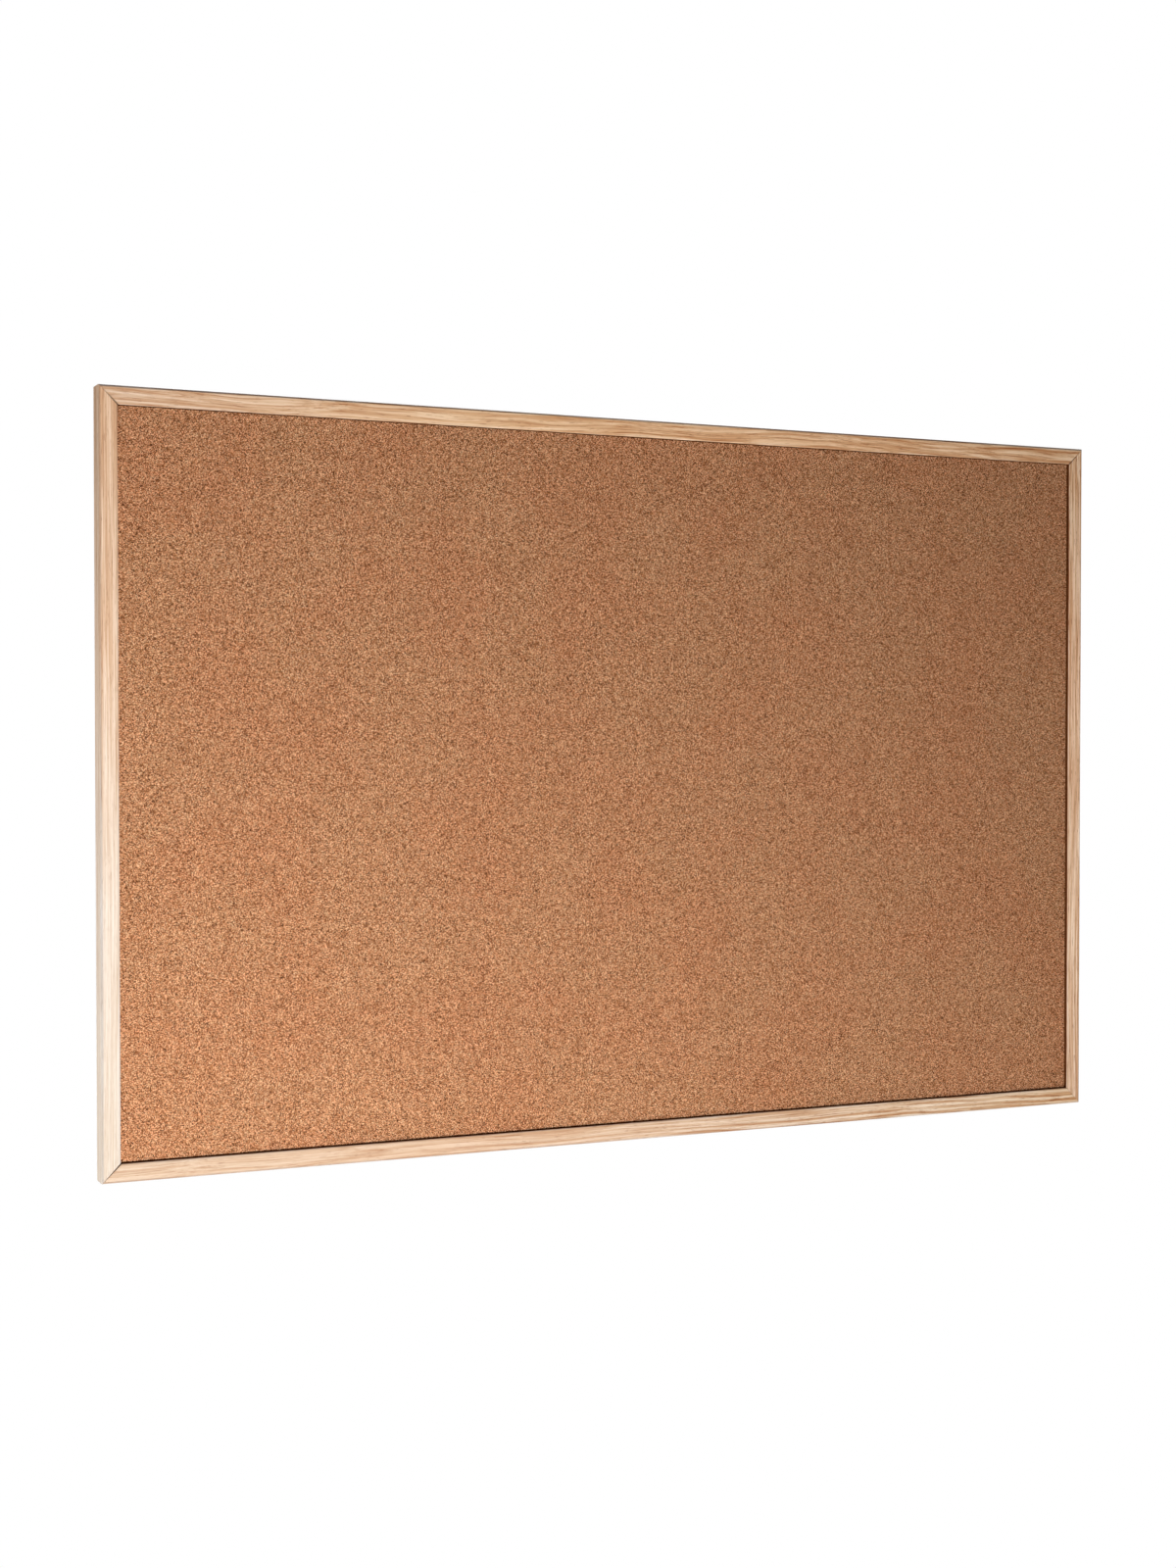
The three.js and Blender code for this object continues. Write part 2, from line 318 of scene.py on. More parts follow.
NAIL_CLEARANCE = 0.12 * MM
WELD = 0.01 * MM
BACK_BAND = 0.1 * MM
OVERRUN = 1 * MM
SCREW_SHANK = 3 * MM
PILOT_CLEARANCE = 0.1 * MM
PILOT_DEEPER = 0.3 * MM
PILOT_SEGMENTS = 32


def nail_slot(node):
    """The nail's own shape, a little larger and open at the back."""
    bm = bmesh.new()
    bm.from_mesh(bpy.data.objects[node].data)
    bmesh.ops.remove_doubles(bm, verts=bm.verts, dist=WELD)
    bmesh.ops.dissolve_limit(bm, angle_limit=math.radians(1), verts=bm.verts, edges=bm.edges)
    bm.normal_update()
    back = max(vert.co.y for vert in bm.verts)
    moves = [(vert, vert.normal * vert.calc_shell_factor() * NAIL_CLEARANCE) for vert in bm.verts]
    for vert, move in moves:
        at_back = back - vert.co.y < BACK_BAND
        vert.co += move
        if at_back:
            vert.co.y = BOARD_BACK + OVERRUN
    return mesh_of("nail_slot", bm)


def pilot_hole(screw):
    lowest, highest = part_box(screw)
    centre = (lowest + highest) / 2
    foot = lowest.y - centre.y - PILOT_DEEPER
    mouth = BOARD_BACK + OVERRUN - centre.y
    radius = SCREW_SHANK / 2 + PILOT_CLEARANCE
    profile = [(0, foot), (radius, foot), (radius, mouth), (0, mouth)]
    return turned("pilot_hole", profile, centre, PILOT_SEGMENTS)


def make_rail(node, length, place, start, end, screw=None):
    """start and end name the corners that the rail runs between."""
    mesh = rail_mesh(f"{node}_wood", length, place, MITRES[start], MITRES[end], BATTENS[node].seed)
    cutters = []
    for corner in (start, end):
        for which in ("outer", "inner"):
            cutters.append(nail_slot(f"v_nail_{corner}_{which}"))
    if screw:
        cutters.append(pilot_hole(screw))
    piece(f"{node}_wood", cut(mesh, cutters), pine_material(node), "board", node)


# Panel: the cork sheet and the backing paper. The core between them stays as packed

CORK_CELL = 5 * MM
CORK_WAVE = 0.12 * MM
CORK_WAVE_LENGTH = 45 * MM
PAPER_CELL = 9 * MM
PAPER_SHEET = 0.25 * MM
PAPER_WAVE = 0.26 * MM
PAPER_WAVE_LENGTH = 70 * MM
PAPER_WAVE_STRETCH = 0.45
PAPER_LIFT = 0.35


def slab_mesh(name, lowest, highest, cell, front, back):
    """A closed slab whose front and back are grids: front and back give y at (x, z)."""
    size = highest - lowest
    columns = math.ceil(size.x / cell)
    rows = math.ceil(size.z / cell)
    bm = bmesh.new()
    sides = []
    for surface in (front, back):
        grid = []
        for i in range(columns + 1):
            x = lowest.x + size.x * i / columns
            line = []
            for j in range(rows + 1):
                z = lowest.z + size.z * j / rows
                line.append(bm.verts.new((x, surface(x, z), z)))
            grid.append(line)
        for i in range(columns):
            for j in range(rows):
                bm.faces.new((grid[i][j], grid[i + 1][j], grid[i + 1][j + 1], grid[i][j + 1]))
        rim = grid[0][:-1] + [line[-1] for line in grid[:-1]]
        rim += grid[-1][:0:-1] + [line[0] for line in grid[:0:-1]]
        sides.append(rim)
    one, other = sides
    for k in range(len(one)):
        bm.faces.new((one[k - 1], one[k], other[k], other[k - 1]))
    return mesh_of(name, bm)


def make_cork(material):
    lowest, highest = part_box("cork_sheet")

    def front(x, z):
        rise = noise.noise(Vector((x, z, 0)) / CORK_WAVE_LENGTH)
        return lowest.y + CORK_WAVE * (0.5 - 0.5 * rise)

    mesh = slab_mesh("cork_face", lowest, highest, CORK_CELL, front, lambda x, z: highest.y)
    piece("cork_face", mesh, material, "board", "cork_sheet")


def make_paper(material):
    lowest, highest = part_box("backing_paper")

    def front(x, z):
        cockle = noise.noise(Vector((x, z * PAPER_WAVE_STRETCH, 1)) / PAPER_WAVE_LENGTH)
        return lowest.y + PAPER_WAVE * max(0.0, PAPER_LIFT + cockle)

    def back(x, z):
        return front(x, z) + PAPER_SHEET

    mesh = slab_mesh("kraft_back", lowest, highest, PAPER_CELL, front, back)
    piece("kraft_back", mesh, material, "board", "backing_paper")


# Hangers: a folded strap, a D-ring that swings in its eye, and a pan-head screw

WIRE = 2 * MM
RING_WIDTH = 13 * MM
RING_CORNER = 2 * MM
RING_LEG = 1.5 * MM
GAUGE = 0.8 * MM
FOLD_SEAM = 0.03 * MM
WIRE_GAP = 0.3 * MM
STRAP_END_ROUND = 3 * MM
STRAP_EDGE = 0.12 * MM
STRAP_SHARP = 40
NECK_ROUND = 0.6 * MM
WIRE_SIDES = 20
BAR_STEPS = 16
BEND_STEPS = 16
LEG_STEPS = 3
BOW_STEPS = 60
FLAT_STEPS = 12
EYE_STEPS = 40
NECK_STEPS = 8
CORNER_STEPS = 16
SCREW_SEGMENTS = 48
SCREW_HOLE_RADIUS = 1.8 * MM
RECESS_TOP = (3.1 * MM, 0.75 * MM)
RECESS_FOOT = (1.5 * MM, 0.5 * MM)
RECESS_DEPTH = 1.05 * MM
EYE_RADIUS = WIRE / 2 + WIRE_GAP + GAUGE
RING_HALF = (RING_WIDTH - WIRE) / 2
RING_REACH = RING_CORNER + RING_LEG + RING_HALF
RING_TILT = math.asin((2 * GAUGE + WIRE_GAP + WIRE / 2 - EYE_RADIUS) / RING_REACH)


def arc(centre, radius, start, end, steps):
    """Points on an arc from one angle to another, in degrees, without its last point."""
    angles = [math.radians(start + (end - start) * k / steps) for k in range(steps)]
    return [centre + Vector((math.cos(angle), math.sin(angle))) * radius for angle in angles]


def ring_line():
    """The middle of the ring's wire: x across, y down from its hinge axis."""
    bar = RING_HALF - RING_CORNER
    shoulder = RING_CORNER + RING_LEG
    line = [Vector((bar - 2 * bar * k / BAR_STEPS, 0)) for k in range(BAR_STEPS)]
    line += arc(Vector((-bar, RING_CORNER)), RING_CORNER, 270, 180, BEND_STEPS)
    line += [Vector((-RING_HALF, RING_CORNER + RING_LEG * k / LEG_STEPS)) for k in range(LEG_STEPS)]
    line += arc(Vector((0, shoulder)), RING_HALF, 180, 0, BOW_STEPS)
    line += [Vector((RING_HALF, shoulder - RING_LEG * k / LEG_STEPS)) for k in range(LEG_STEPS)]
    line += arc(Vector((bar, RING_CORNER)), RING_CORNER, 0, -90, BEND_STEPS)
    return line


def make_ring(side, joint, material):
    axis = Vector(joint["pos_m"])
    down = Vector((0, math.sin(RING_TILT), -math.cos(RING_TILT)))
    aside = Vector((1, 0, 0))
    off_plane = aside.cross(down)
    line = ring_line()
    rings = []
    for point, normal in zip(line, outward_normals(line)):
        middle = axis + aside * point.x + down * point.y
        out = aside * normal.x + down * normal.y
        ring = []
        for k in range(WIRE_SIDES):
            angle = math.tau * k / WIRE_SIDES
            ring.append(middle + (out * math.cos(angle) + off_plane * math.sin(angle)) * WIRE / 2)
        rings.append(ring)
    bm = bmesh.new()
    skin(bm, rings, closed=True)
    mesh = mesh_of(f"d_ring_{side}", bm)
    piece(f"d_ring_{side}", mesh, material, f"{side}_ring", f"hanger_ring_{side}")


def strap_line(length):
    """The middle of the folded sheet: x down from the ring's axis, y out from the rail."""
    inner = GAUGE / 2
    outer = GAUGE * 1.5
    eye = Vector((0, EYE_RADIUS))
    bend = EYE_RADIUS - GAUGE / 2
    rise = outer + NECK_ROUND - EYE_RADIUS
    neck = Vector((math.sqrt((bend + NECK_ROUND) ** 2 - rise**2), outer + NECK_ROUND))
    leaves = math.degrees(math.atan2(rise, neck.x))
    line = [Vector((length * (1 - k / FLAT_STEPS), inner)) for k in range(FLAT_STEPS)]
    line += arc(eye, bend, -90, leaves - 360, EYE_STEPS)
    line += arc(neck, NECK_ROUND, leaves + 180, 270, NECK_STEPS)
    for k in range(FLAT_STEPS + 1):
        line.append(Vector((neck.x + (length - neck.x) * k / FLAT_STEPS, outer)))
    return line


def strap_outline(length):
    """The folded sheet's section, half a gauge to each side of its middle, less the fold's seam."""
    line = strap_line(length)
    half = GAUGE / 2 - FOLD_SEAM
    one, other = [], []
    for i, point in enumerate(line):
        along = (line[min(i + 1, len(line) - 1)] - line[max(i - 1, 0)]).normalized()
        aside = Vector((along.y, -along.x)) * half
        one.append(point + aside)
        other.append(point - aside)
    return one + other[::-1]


def strap_corner(lowest, edge, way, reach):
    """What a round lower corner of the strap leaves off, at the side edge that way points to."""
    middle = Vector((edge - way * STRAP_END_ROUND, lowest.z + STRAP_END_ROUND))
    start, end = (0, -90) if way > 0 else (180, 270)
    plan = [Vector((edge + way * OVERRUN, lowest.z - OVERRUN))]
    plan += [Vector((edge + way * OVERRUN, middle.y)), Vector((edge, middle.y))]
    plan += arc(middle, STRAP_END_ROUND, start, end, CORNER_STEPS)[1:]
    plan += [Vector((middle.x, lowest.z)), Vector((middle.x, lowest.z - OVERRUN))]
    bm = bmesh.new()
    skin(bm, [[Vector((p.x, lowest.y + y, p.y)) for p in plan] for y in (-OVERRUN, reach)])
    return mesh_of("strap_corner", bm)


def make_strap(side, material):
    node = f"hanger_strap_{side}"
    lowest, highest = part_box(node)
    joint = joints[f"{side}_ring_hinge"]
    axis_z = joint["pos_m"][2]
    length = axis_z - lowest.z
    bm = bmesh.new()
    skin(bm, [
        [Vector((x, lowest.y + point.y, axis_z - point.x)) for point in strap_outline(length)]
        for x in (lowest.x, highest.x)
    ])
    mesh = mesh_of(node, bm)

    screw = sum(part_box(f"hanger_screw_{side}"), Vector()) / 2
    reach = highest.y - lowest.y + 2 * OVERRUN
    hole = [(0, -reach), (SCREW_HOLE_RADIUS, -reach), (SCREW_HOLE_RADIUS, reach), (0, reach)]
    cutters = [
        turned("hole", hole, Vector((screw.x, lowest.y, screw.z)), SCREW_SEGMENTS),
        strap_corner(lowest, lowest.x, -1, reach),
        strap_corner(lowest, highest.x, 1, reach),
    ]
    mesh = cut(mesh, cutters)
    softened = {
        "width": STRAP_EDGE,
        "segments": 2,
        "limit_method": "ANGLE",
        "angle_limit": math.radians(STRAP_SHARP),
    }
    mesh = worked(mesh, "BEVEL", softened, STRAP_SHARP)
    piece(f"folded_strap_{side}", mesh, material, "board", node)


def recess(centre, face, turn):
    """One of the two tapered bars of a cross recess, from over the head down into it."""
    bm = bmesh.new()
    rings = []
    for y, (long, wide) in ((face - RECESS_DEPTH, RECESS_FOOT), (face + RECESS_DEPTH / 4, RECESS_TOP)):
        ring = [(long, wide), (-long, wide), (-long, -wide), (long, -wide)]
        turned_by = Matrix.Rotation(turn, 2)
        places = [turned_by @ (Vector(p) / 2) for p in ring]
        rings.append([Vector((centre.x + p.x, y, centre.z + p.y)) for p in places])
    skin(bm, rings)
    return mesh_of("recess", bm)


SCREW_TIP = 3 * MM
HEAD_RADIUS = 2.8 * MM
HEAD_HEIGHT = 1.9 * MM
HEAD_SIDE = 0.7 * MM
HEAD_STEPS = 12

# The power that makes the head's dome fuller or, over one, more pointed than a round one
HEAD_FULLNESS = 0.8

# How far each screw was turned, in degrees
HEAD_TURN = {"left": 24, "right": -37}


def make_screw(side, material):
    node = f"hanger_screw_{side}"
    lowest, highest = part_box(node)
    centre = (lowest + highest) / 2
    under = highest.y - HEAD_HEIGHT - centre.y
    foot = lowest.y - centre.y
    shoulder = under + HEAD_SIDE
    profile = [(0, foot), (SCREW_SHANK / 2, foot + SCREW_TIP), (SCREW_SHANK / 2, under)]
    profile += [(HEAD_RADIUS - ARRIS, under), (HEAD_RADIUS, under + ARRIS), (HEAD_RADIUS, shoulder)]
    dome = HEAD_HEIGHT - HEAD_SIDE
    for k in range(1, HEAD_STEPS):
        angle = math.radians(90 * k / HEAD_STEPS)
        radius = HEAD_RADIUS * math.cos(angle) ** HEAD_FULLNESS
        profile.append((radius, shoulder + dome * math.sin(angle)))
    profile.append((0, under + HEAD_HEIGHT))
    mesh = turned(f"pan_screw_{side}", profile, centre, SCREW_SEGMENTS)
    turns = [math.radians(HEAD_TURN[side] + quarter) for quarter in (0, 90)]
    mesh = cut(mesh, [recess(centre, highest.y, turn) for turn in turns])
    piece(f"pan_screw_{side}", mesh, material, "board", node)


# Bumpers, soft and low, on the back of the bottom rail

BUMPER_ROUND = 1 * MM
BUMPER_STEPS = 12
BUMPER_SEGMENTS = 64


def make_bumper(side, material):
    node = f"wall_bumper_{side}"
    lowest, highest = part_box(node)
    centre = (lowest + highest) / 2
    radius = (highest.x - lowest.x) / 2
    half = (highest.y - lowest.y) / 2
    profile = [(0, -half), (radius - ARRIS, -half), (radius, -half + ARRIS)]
    for k in range(BUMPER_STEPS + 1):
        angle = math.radians(90 * k / BUMPER_STEPS)
        out = radius - BUMPER_ROUND + BUMPER_ROUND * math.cos(angle)
        profile.append((out, half - BUMPER_ROUND + BUMPER_ROUND * math.sin(angle)))
    profile.append((0, half))
    mesh = turned(f"soft_bumper_{side}", profile, centre, BUMPER_SEGMENTS)
    piece(f"soft_bumper_{side}", mesh, material, "board", node)


# Materials. Their lengths are millimetres, so a scale of 0.5 is a cell of two millimetres

def linear(value):
    return value / 12.92 if value <= 0.04045 else ((value + 0.055) / 1.055) ** 2.4


def paint(code):
    """A colour as it is seen, such as "#b27e5b", in the four linear numbers that a socket takes."""
    return (*(linear(int(code[i : i + 2], 16) / 255) for i in (1, 3, 5)), 1)


class Surface:
    """A new material's nodes, or a world's, as calls that take and give sockets or plain values."""

    def __init__(self, name, owners=bpy.data.materials):
        self.owner = owners.new(name)
        self.owner.use_nodes = True
        self.tree = self.owner.node_tree
        self.tree.nodes.clear()

    def node(self, kind, inputs, **settings):
        node = self.tree.nodes.new(kind)
        for key, value in settings.items():
            setattr(node, key, value)
        for key, value in inputs.items():
            if isinstance(value, bpy.types.NodeSocket):
                self.tree.links.new(value, node.inputs[key])
            else:
                node.inputs[key].default_value = value
        return node

    def millimetres(self):
        place = self.node("ShaderNodeTexCoord", {}).outputs["Object"]
        return self.scaled(place, (1000, 1000, 1000))

    def scaled(self, vector, factors):
        return self.node("ShaderNodeVectorMath", {0: vector, 1: factors}, operation="MULTIPLY").outputs[0]

    def moved(self, vector, offset):
        return self.node("ShaderNodeVectorMath", {0: vector, 1: offset}, operation="ADD").outputs[0]

    def axes(self, vector):
        return self.node("ShaderNodeSeparateXYZ", {0: vector}).outputs

    def vector(self, x, y, z):
        return self.node("ShaderNodeCombineXYZ", {0: x, 1: y, 2: z}).outputs[0]

    def length(self, vector):
        return self.node("ShaderNodeVectorMath", {0: vector}, operation="LENGTH").outputs["Value"]

    def math(self, operation, *values):
        return self.node("ShaderNodeMath", dict(enumerate(values)), operation=operation).outputs[0]

    def remap(self, value, start, end, to_start=0.0, to_end=1.0):
        inputs = {"Value": value, 1: start, 2: end, 3: to_start, 4: to_end}
        return self.node("ShaderNodeMapRange", inputs, interpolation_type="SMOOTHSTEP").outputs[0]

    def noise(self, vector, scale=1.0, detail=2.0, roughness=0.5):
        inputs = {"Vector": vector, "Scale": scale, "Detail": detail, "Roughness": roughness}
        return self.node("ShaderNodeTexNoise", inputs).outputs

    def cells(self, vector, scale, feature="F1"):
        return self.node("ShaderNodeTexVoronoi", {"Vector": vector, "Scale": scale}, feature=feature).outputs

    def ramp(self, value, stops):
        """stops are (place, colour code), or (place, number) for a grey."""
        node = self.node("ShaderNodeValToRGB", {0: value})
        elements = node.color_ramp.elements
        while len(elements) < len(stops):
            elements.new(0.5)
        for element, (place, colour) in zip(elements, stops):
            element.position = place
            element.color = paint(colour) if isinstance(colour, str) else (colour, colour, colour, 1)
        return node.outputs[0]

    def mix(self, share, one, other, blend="MIX"):
        inputs = {0: share, 6: one, 7: other}
        return self.node("ShaderNodeMix", inputs, data_type="RGBA", blend_type=blend).outputs[2]

    def shaded(self, share, colour, factors):
        """colour, in part turned to itself times three factors."""
        return self.mix(share, colour, self.scaled(colour, factors))

    def bump(self, height, depth_mm):
        return self.node("ShaderNodeBump", {"Height": height, "Distance": depth_mm * MM}).outputs[0]

    def finish(self, **inputs):
        sockets = {key.replace("_", " "): value for key, value in inputs.items()}
        shader = self.node("ShaderNodeBsdfPrincipled", sockets)
        self.node("ShaderNodeOutputMaterial", {0: shader.outputs[0]})
        return self.owner


# Granules, their seams and the bark specks of the cork, in cells to a millimetre

COARSE_GRANULES = 1.3
FINE_GRANULES = 2.3
GRANULE_SEAMS = 1.9
BARK_SPECKS = 0.95

# The random number, from zero to one, past which a coarse granule is broken up into fine ones

BROKEN_UP = (0.36, 0.38)


def cork_material():
    """Fine pressed cork: granules of half a millimetre to one in many browns, with bark specks."""
    s = Surface("cork_granules")
    place = s.millimetres()
    stir = s.moved(s.noise(place, 2.0, 3)["Color"], (-0.5, -0.5, -0.5))
    stirred = s.moved(place, s.scaled(stir, (0.6, 0.6, 0.6)))
    coarse = s.cells(stirred, COARSE_GRANULES)
    fine = s.cells(stirred, FINE_GRANULES)
    coarse_random = s.axes(coarse["Color"])
    fine_random = s.axes(fine["Color"])
    is_fine = s.remap(coarse_random[1], *BROKEN_UP)
    shade = s.node("ShaderNodeMix", {0: is_fine, 2: coarse_random[0], 3: fine_random[0]}).outputs[0]
    granules = s.ramp(shade, [
        (0.0, "#1c0400"),
        (0.16, "#461a01"),
        (0.35, "#79431b"),
        (0.55, "#bc7d4f"),
        (0.74, "#f2ac7f"),
        (1.0, "#fdd6a8"),
    ])
    cell_walls = s.noise(stirred, 7.0, 3, 0.6)["Fac"]
    granules = s.mix(s.remap(cell_walls, 0.35, 0.65, 0.0, 0.24), granules, paint("#8a5834"))
    to_seam = s.cells(stirred, GRANULE_SEAMS, "DISTANCE_TO_EDGE")["Distance"]
    seams = s.remap(to_seam, 0.0, 0.12, 0.4, 0.0)
    granules = s.mix(seams, granules, paint("#6b4128"))
    speck = s.cells(s.moved(stirred, (31.0, 7.0, 13.0)), BARK_SPECKS)
    speck_size = s.remap(s.axes(speck["Color"])[0], 0.0, 1.0, -0.2, 0.27)
    specks = s.remap(s.math("SUBTRACT", speck["Distance"], speck_size), 0.0, 0.08, 0.8, 0.0)
    granules = s.mix(specks, granules, paint("#4a2613"))

    blotch = s.noise(place, 0.011, 2)["Fac"]
    rosy = s.mix(1.0, granules, paint("#ffe6dc"), "MULTIPLY")
    granules = s.mix(s.remap(blotch, 0.35, 0.65, 0.0, 0.3), granules, rosy)
    cloud = s.noise(s.moved(place, (90.0, 0.0, 40.0)), 0.05, 3)["Fac"]
    dusky = s.mix(1.0, granules, paint("#e9dfc4"), "MULTIPLY")
    granules = s.mix(s.remap(cloud, 0.3, 0.7, 0.0, 0.12), granules, dusky)

    height = s.math("ADD", s.math("MULTIPLY", shade, 0.6), s.math("MULTIPLY", cell_walls, 0.4))
    height = s.math("SUBTRACT", height, s.math("ADD", seams, specks))
    rough = s.remap(cell_walls, 0.3, 0.7, 0.82, 0.98)
    return s.finish(
        Base_Color=granules, Roughness=rough, Specular_IOR_Level=0.25, Normal=s.bump(height, 0.1),
    )


# Shades of the grain, as factors on the red, green and blue of the wood's own colour, then a greying of the
# front edges, painted shade on the outer front edge and painted shade on the inner edge of the lip

PALE_BAND = (1.12, 1.2, 1.3)
LATE_WOOD = (0.77, 0.6, 0.46)
STREAK = (0.6, 0.42, 0.3)
CANAL = (0.4, 0.22, 0.12)
# The front edges, a little darker and greyer
EDGE_GREYING = (0.84, 0.86, 0.92)
# Painted shade on the outer front edge, darker and greyer, strongest on the top rail, whose edge faces away
# from the low key light
PAINTED_RIM_SHADE = (0.5, 0.54, 0.62)
# Painted shade on the inner edge of the lip, where the groove lies in shadow
PAINTED_LIP_SHADE = (0.42, 0.24, 0.13)

# The colour of the stains at the mitres

PINE_STAIN = "#5b3a22"

# Where the painted shade on the inner edge of the lip lies, in millimetres: from the opening, and from the
# front

PAINTED_LIP_SHADE_FROM_OPENING = (0.5, 0.05)
PAINTED_LIP_SHADE_FROM_FRONT = (2.0, 3.0)

# How far apart the rails' grains are taken, in millimetres, so that no two are alike

GRAIN_STEP = Vector((977.0, 131.0, 61.0))


@dataclass
class Batten:
    """How the wood of a rail looks, its lengths in millimetres.

    along is the axis of its grain, ring the width of a year's growth, and pith how far the tree's
    middle lies from the rail's own, across the face and in depth. wander is how far the grain
    strays. The next three go from the rail's lower or left end to its other end: figure is how
    strong the bands are, tones are the wood's colour, on the bottom and left rails darker and
    greyer as painted shade towards their shared corner, where the key light is strongest, and
    stains are how dark the mitres are. rim is how strong the painted shade on the outer front
    edge is, and lip how strong the painted shade on the inner edge of the lip is. seed sets the
    rail's grain and wear apart from the others'.
    """

    along: str
    ring: float
    pith: tuple
    wander: float
    figure: tuple
    tones: tuple
    stains: tuple
    rim: float
    lip: float
    seed: int


# The tones of the bottom and left rails darken and grey as painted shade towards their shared corner, where
# the key light is strongest; rim and lip set painted shade on the edges
BATTENS = {
    "top_rail": Batten(
        along="X", ring=3.1, pith=(16, 34), wander=18, figure=(0.8, 1.05),
        tones=("#ddbda0", "#e7c199", "#ebc299", "#e7c099"),
        stains=(0.5, 0.45), rim=1.0, lip=0.2, seed=1,
    ),
    "bottom_rail": Batten(
        along="X", ring=3.6, pith=(38, 20), wander=11, figure=(0.5, 1.2),
        tones=("#c4ac94", "#c9aa8e", "#d6bca2", "#e3c6a4"),
        stains=(0.5, 0.12), rim=0.35, lip=1.0, seed=2,
    ),
    "left_rail": Batten(
        along="Z", ring=2.1, pith=(64, 10), wander=5, figure=(0.3, 0.8),
        tones=("#cbbfb0", "#d9caba", "#e4c9af", "#ddb998"),
        stains=(0.5, 0.5), rim=0.3, lip=0.4, seed=3,
    ),
    "right_rail": Batten(
        along="Z", ring=3.0, pith=(48, 22), wander=7, figure=(1.0, 1.3),
        tones=("#e8caae", "#f4d4b5", "#f2cdac", "#f1d2b1"),
        stains=(0.12, 0.45), rim=0.45, lip=1.0, seed=4,
    ),
}


def pine_material(rail):
    """Pine cut along its grain, with a year's rings, bands, fibres and resin canals, and painted shade on
    its outer front edge and on the inner edge of its lip.
    """
    batten = BATTENS[rail]
    s = Surface(f"pine_of_{rail}")
    lowest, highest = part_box(rail)
    place = s.moved(s.millimetres(), tuple(-(lowest + highest) / 2 / MM))
    x, y, z = s.axes(place)
    run, face = (x, z) if batten.along == "X" else (z, x)
    half = (highest - lowest)["XYZ".index(batten.along)] / 2 / MM
    half_face = RAIL_FACE / 2 / MM
    half_depth = RAIL_DEPTH / 2 / MM

    here = s.moved(s.vector(run, face, y), tuple(GRAIN_STEP * batten.seed))
    slow = s.axes(s.noise(s.scaled(here, (0.005, 0.03, 0.03)), 1.0, 2)["Color"])
    stray = [s.math("MULTIPLY", s.math("SUBTRACT", slow[k], 0.5), batten.wander) for k in (0, 1)]
    grain = s.moved(here, s.vector(0.0, *stray))
    section = s.vector(0.0, s.math("ADD", face, stray[0]), s.math("ADD", y, stray[1]))

    # The wood's colour along the rail; on the bottom and left rails it holds painted shade towards their
    # shared corner
    lengthwise = s.math("MULTIPLY_ADD", run, 0.5 / half, 0.5)
    last = len(batten.tones) - 1
    wood = s.ramp(lengthwise, [(k / last, tone) for k, tone in enumerate(batten.tones)])

    wobble = s.noise(s.scaled(grain, (0.02, 0.3, 0.3)), 1.0, 2)["Fac"]
    radius = s.length(s.moved(section, (0.0, *batten.pith)))
    turns = s.math("DIVIDE", s.math("MULTIPLY_ADD", wobble, 1.4, radius), batten.ring)
    ring = s.math("FLOOR", turns)
    year = s.node("ShaderNodeTexWhiteNoise", {"W": ring}, noise_dimensions="1D").outputs["Value"]
    late = s.ramp(s.math("SUBTRACT", turns, ring), [
        (0.0, 0.25), (0.14, 0.0), (0.42, 0.08), (0.72, 0.6), (0.88, 1.0), (0.95, 0.9), (1.0, 0.25),
    ])
    late = s.math("MULTIPLY", late, s.remap(year, 0.0, 1.0, 0.4, 1.0))
    figure = s.remap(run, -half, half, *batten.figure)
    wood = s.shaded(s.math("MULTIPLY", late, s.math("MINIMUM", figure, 1.0)), wood, LATE_WOOD)

    band = s.noise(s.scaled(grain, (0.007, 0.42, 0.42)), 1.0, 2)["Fac"]
    thin = s.noise(s.scaled(grain, (0.016, 1.1, 1.1)), 1.0, 3, 0.6)["Fac"]
    canal = s.noise(s.scaled(grain, (0.11, 2.0, 2.0)), 1.0, 1)["Fac"]
    for value, none, full, share, shade in (
        (band, 0.5, 0.62, 0.9, PALE_BAND),
        (band, 0.5, 0.38, 0.75, LATE_WOOD),
        (thin, 0.52, 0.66, 0.8, STREAK),
        (thin, 0.48, 0.36, 0.8, PALE_BAND),
        (canal, 0.66, 0.71, 0.7, CANAL),
    ):
        wood = s.shaded(s.math("MULTIPLY", s.remap(value, none, full, 0.0, share), figure), wood, shade)
    fibres = s.noise(s.scaled(grain, (0.09, 4.5, 4.5)), 1.0, 4, 0.6)["Fac"]
    wood = s.shaded(s.remap(fibres, 0.4, 0.75, 0.0, 0.35), wood, STREAK)

    inward = -1.0 if rail in ("top_rail", "right_rail") else 1.0
    from_outside = s.math("MULTIPLY_ADD", face, inward, half_face)
    to_mitre = s.math("SUBTRACT", s.math("SUBTRACT", half, s.math("ABSOLUTE", run)), from_outside)
    ragged = s.math("MULTIPLY_ADD", thin, -0.8, s.math("ABSOLUTE", to_mitre))
    strength = s.remap(run, -1.0, 1.0, *batten.stains)
    stain = s.math("MULTIPLY", s.remap(ragged, -0.1, 0.7, 1.0, 0.0), strength)
    stain = s.math("MULTIPLY", stain, s.remap(from_outside, 0.5 * half_face, 1.6 * half_face, 0.15, 1.0))
    wood = s.mix(stain, wood, paint(PINE_STAIN))

    from_front = s.math("ADD", y, half_depth)
    to_side = s.math("SUBTRACT", s.math("ABSOLUTE", face), half_face)
    to_edge = s.length(s.vector(0.0, to_side, from_front))
    # Both front edges turn a little darker and greyer
    greyed_edges = s.remap(s.math("MULTIPLY_ADD", band, -2.4, to_edge), -0.6, 1.0, 0.6, 0.0)
    wood = s.shaded(greyed_edges, wood, EDGE_GREYING)
